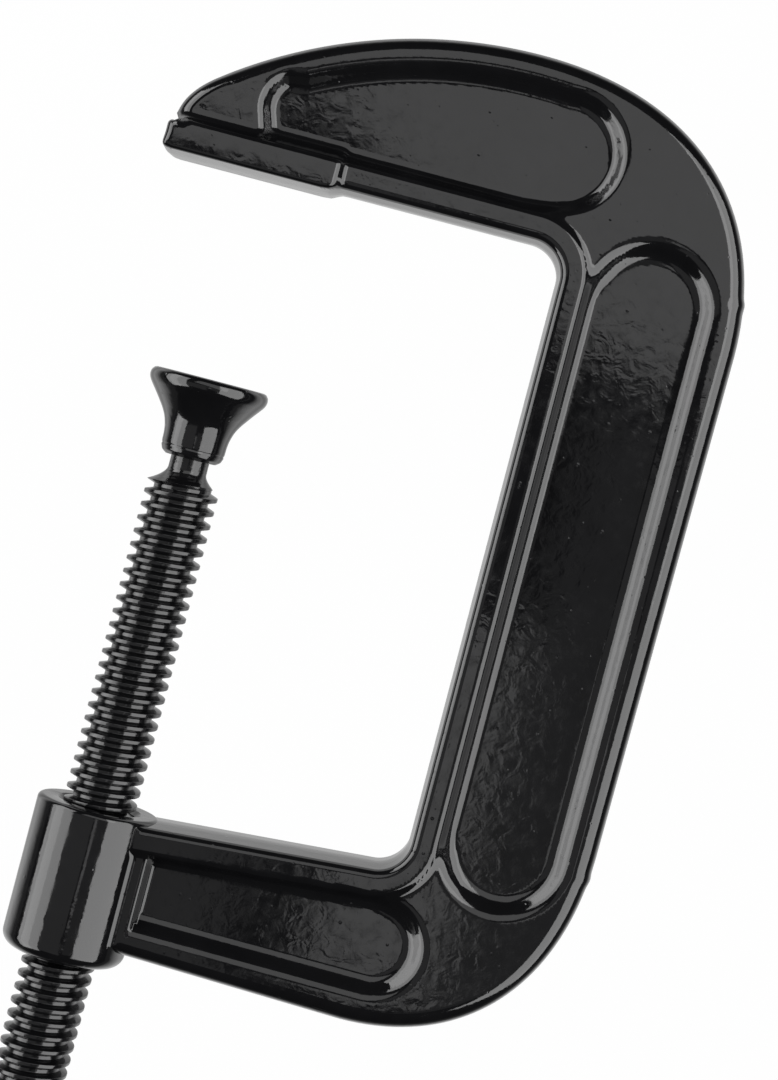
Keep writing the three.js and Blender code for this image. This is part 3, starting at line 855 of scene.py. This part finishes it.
def black_paint(name, waves, peel, gloss, wear=0.25):
    """Gloss black paint.

    waves and peel are (size, height) in millimetres, and gloss is the lowest and highest roughness.
    """
    n = Nodes(name)
    n.shader.inputs["IOR"].default_value = 1.5
    patches = n.noise(9.0, detail=3.0)
    sharp = n.ramp(n.new("ShaderNodeNewGeometry").outputs["Pointiness"], 0.53, 0.6, 0.0, 1.0)
    edges = n.maths("MULTIPLY", sharp, n.ramp(n.noise(2.5, 4.0), 0.45, 0.62, 0.0, wear))
    base = n.colour(patches, DEEP_BLACK, WORN_BLACK)
    paint = n.new("ShaderNodeMix")
    paint.data_type = "RGBA"
    n.link(base, paint.inputs["A"])
    paint.inputs["B"].default_value = (*EDGE_GREY, 1)
    n.link(edges, paint.inputs["Factor"])
    n.link(paint.outputs["Result"], n.shader.inputs["Base Color"])
    rough = n.maths("ADD", n.ramp(n.noise(3.0, 4.0), 0.3, 0.75, *gloss), n.maths("MULTIPLY", edges, 0.3))
    n.link(rough, n.shader.inputs["Roughness"])
    slope = n.bump(n.noise(waves[0], 2.5, 0.5, 0.6), waves[1])
    slope = n.bump(n.noise(peel[0], 2.0, 0.5), peel[1], slope)
    slope = n.bump(n.specks(2.2, 0.14), 0.035, slope)  # grains under the paint
    slope = n.bump(n.specks(1.1, 0.05), -0.04, slope)  # pinholes
    n.link(slope, n.shader.inputs["Normal"])
    return n.material


# The floor as the clamp mirrors it: distances in metres, and its glow before and after them.
FLOOR_NEAR = (0.40, 0.52, 0.65, 1.3)
FLOOR_FAR = (0.50, 1.3, 1.3, 0.12)


def glowing_floor():
    """A pale floor, evenly white to the camera. The clamp mirrors a ring of it brightest."""
    n = Nodes("pale_floor")
    n.tree.nodes.remove(n.shader)
    glow = n.new("ShaderNodeEmission")
    apart = n.new("ShaderNodeVectorMath")
    apart.operation = "LENGTH"
    n.link(n.place, apart.inputs[0])
    near = n.ramp(apart.outputs["Value"], *FLOOR_NEAR)
    lit = n.maths("MINIMUM", near, n.ramp(apart.outputs["Value"], *FLOOR_FAR))
    seen = n.new("ShaderNodeMix")
    n.link(n.new("ShaderNodeLightPath").outputs["Is Camera Ray"], seen.inputs["Factor"])
    n.link(lit, seen.inputs["A"])
    seen.inputs["B"].default_value = 1.0
    shade = n.colour(n.noise(180, 2.0), (0.985, 0.985, 0.985), (1.0, 1.0, 1.0))
    n.link(shade, glow.inputs["Color"])
    n.link(seen.outputs["Result"], glow.inputs["Strength"])
    n.link(glow.outputs["Emission"], n.tree.nodes["Material Output"].inputs["Surface"])
    return n.material


# --- stage --------------------------------------------------------------------------------------------------

# In metres, apart from the two marked as millimetres.
FLOOR_Z = -0.32
FLOOR_HALF = 3.0
DIM_WORLD = 0.02  # the white surroundings as the clamp mirrors them
SCENE_CENTRE = Vector((46.2, -69.2, 0)) * MM  # millimetres
CAMERA_DISTANCE = 0.58
CAMERA_LENS = 89
SENSOR = 36
PICTURE_HEIGHT = CAMERA_DISTANCE * SENSOR / CAMERA_LENS
CAMERA_ASIDE = (0, 20, 0)  # millimetres off the picture's middle
CAMERA_ROLL = math.radians(14.7)
SOFTBOX_DISTANCE = 0.9
SOFTBOX_HEIGHT = 1.7

# Softboxes: name, direction and half spread in degrees, radiance.
SOFTBOXES = (
    ("left_softbox_rim", -83.0, 4.0, 4.0),
    ("left_softbox_middle", -70.0, 9.0, 5.3),
    ("left_softbox_edge", -51.8, 9.2, 4.0),
    ("right_softbox", 50, 26, 4.3),
)
# Dim cards overhead: name, centre, size, turn in degrees, radiance.
CARDS = (
    ("top_card", (0.254, 0.418, 1.0), (1.3, 0.8), -15, 1.3),
    ("middle_card", (0.097, -0.25, 1.0), (0.08, 0.23), 0, 1.2),
    ("left_card", (-0.42, -0.46, 1.0), (0.86, 0.9), 0, 0.3),
    ("side_card", (0.30, -0.28, 1.0), (0.32, 0.56), 0, 0.17),
)


def add_floor():
    floor_mesh = bpy.data.meshes.new("floor")
    corners = [(x * FLOOR_HALF, y * FLOOR_HALF, FLOOR_Z) for x, y in ((-1, -1), (1, -1), (1, 1), (-1, 1))]
    floor_mesh.from_pydata(corners, [], [(0, 1, 2, 3)])
    floor_mesh.materials.append(glowing_floor())
    floor = bpy.data.objects.new("floor", floor_mesh)
    bpy.context.scene.collection.objects.link(floor)


def set_world():
    """White to the camera and dim to reflections."""
    world = bpy.data.worlds.new("studio")
    bpy.context.scene.world = world
    world.use_nodes = True
    background = world.node_tree.nodes["Background"]
    background.inputs["Color"].default_value = (1, 1, 1, 1)
    path = world.node_tree.nodes.new("ShaderNodeLightPath")
    strength = world.node_tree.nodes.new("ShaderNodeMapRange")
    strength.inputs["To Min"].default_value = DIM_WORLD
    world.node_tree.links.new(path.outputs["Is Camera Ray"], strength.inputs["Value"])
    world.node_tree.links.new(strength.outputs["Result"], background.inputs["Strength"])


def add_camera():
    camera = bpy.data.cameras.new("camera")
    camera.lens = CAMERA_LENS
    camera.sensor_width = SENSOR
    holder = bpy.data.objects.new("camera", camera)
    aside = Vector(CAMERA_ASIDE) * MM
    camera.shift_x, camera.shift_y = (
        -(aside.x * math.cos(CAMERA_ROLL) + aside.y * math.sin(CAMERA_ROLL)) / PICTURE_HEIGHT,
        -(aside.y * math.cos(CAMERA_ROLL) - aside.x * math.sin(CAMERA_ROLL)) / PICTURE_HEIGHT)
    holder.location = SCENE_CENTRE + aside + Vector((0, 0, CAMERA_DISTANCE))
    holder.rotation_euler = (0, 0, CAMERA_ROLL)
    bpy.context.scene.collection.objects.link(holder)
    bpy.context.scene.camera = holder
    bpy.context.scene.view_settings.view_transform = "Standard"


def add_light(name, centre, size, turn, radiance):
    """A rectangular light that faces down before it is turned."""
    light = bpy.data.lights.new(name, "AREA")
    light.shape = "RECTANGLE"
    light.size, light.size_y = size
    light.energy = radiance * math.pi * size[0] * size[1]
    holder = bpy.data.objects.new(name, light)
    holder.location = centre
    holder.rotation_euler = turn
    bpy.context.scene.collection.objects.link(holder)


def softbox(name, direction, spread, radiance):
    """A long light beside the clamp, direction degrees from straight above and spread degrees each way."""
    width = 2 * SOFTBOX_DISTANCE * math.tan(math.radians(spread))
    t = math.radians(direction)
    out = Vector((math.sin(t), 0, math.cos(t)))
    add_light(name, SCENE_CENTRE + out * SOFTBOX_DISTANCE, (width, SOFTBOX_HEIGHT), (0, t, 0), radiance)


def ceiling_card(name, centre, size, turn, radiance):
    """A dim light above the clamp that its flat faces mirror."""
    add_light(name, Vector(centre), size, (0, 0, math.radians(turn)), radiance)


# --- scene --------------------------------------------------------------------------------------------------

frame_paint = black_paint("frame_paint", waves=(3.2, 0.036), peel=(1.3, 0.006), gloss=(0.05, 0.13))
screw_black = black_paint("screw_black", waves=(1.8, 0.05), peel=(0.8, 0.01), gloss=(0.1, 0.22), wear=0.4)
pad_black = black_paint("pad_black", waves=(3.0, 0.03), peel=(0.9, 0.012), gloss=(0.06, 0.14))
bar_black = black_paint("bar_black", waves=(4.0, 0.04), peel=(1.0, 0.006), gloss=(0.08, 0.18), wear=0.4)

sheet_points, sheet_faces, sheet_normals = casting_sheets()
boss_points, boss_faces, boss_normals = boss_shell()
add_piece("casting", (
    np.concatenate([sheet_points, boss_points]),
    np.concatenate([sheet_faces, boss_faces + len(sheet_points)]),
    np.concatenate([sheet_normals, boss_normals]),
), frame_paint, "c_frame", "frame")

shank, head = screw_shell()
shank = welded(shank)
head = bored_head(head)
add_piece("screw_body", (
    np.concatenate([shank[0], head[0]]),
    np.concatenate([shank[1], head[1] + len(shank[0])]),
    np.concatenate([shank[2], head[2]]),
), screw_black, "screw", "screw")
add_piece("pad_body", pad_shell(), pad_black, "swivel_pad", "pad")
add_piece("bar_body", bar_shell(), bar_black, "tommy_bar", "handle")
add_piece("knob_left", knob_shell(-1), bar_black, "bar_knob_left", "handle")
add_piece("knob_right", knob_shell(1), bar_black, "bar_knob_right", "handle")

add_floor()
set_world()
add_camera()
for box in SOFTBOXES:
    softbox(*box)
for card in CARDS:
    ceiling_card(*card)
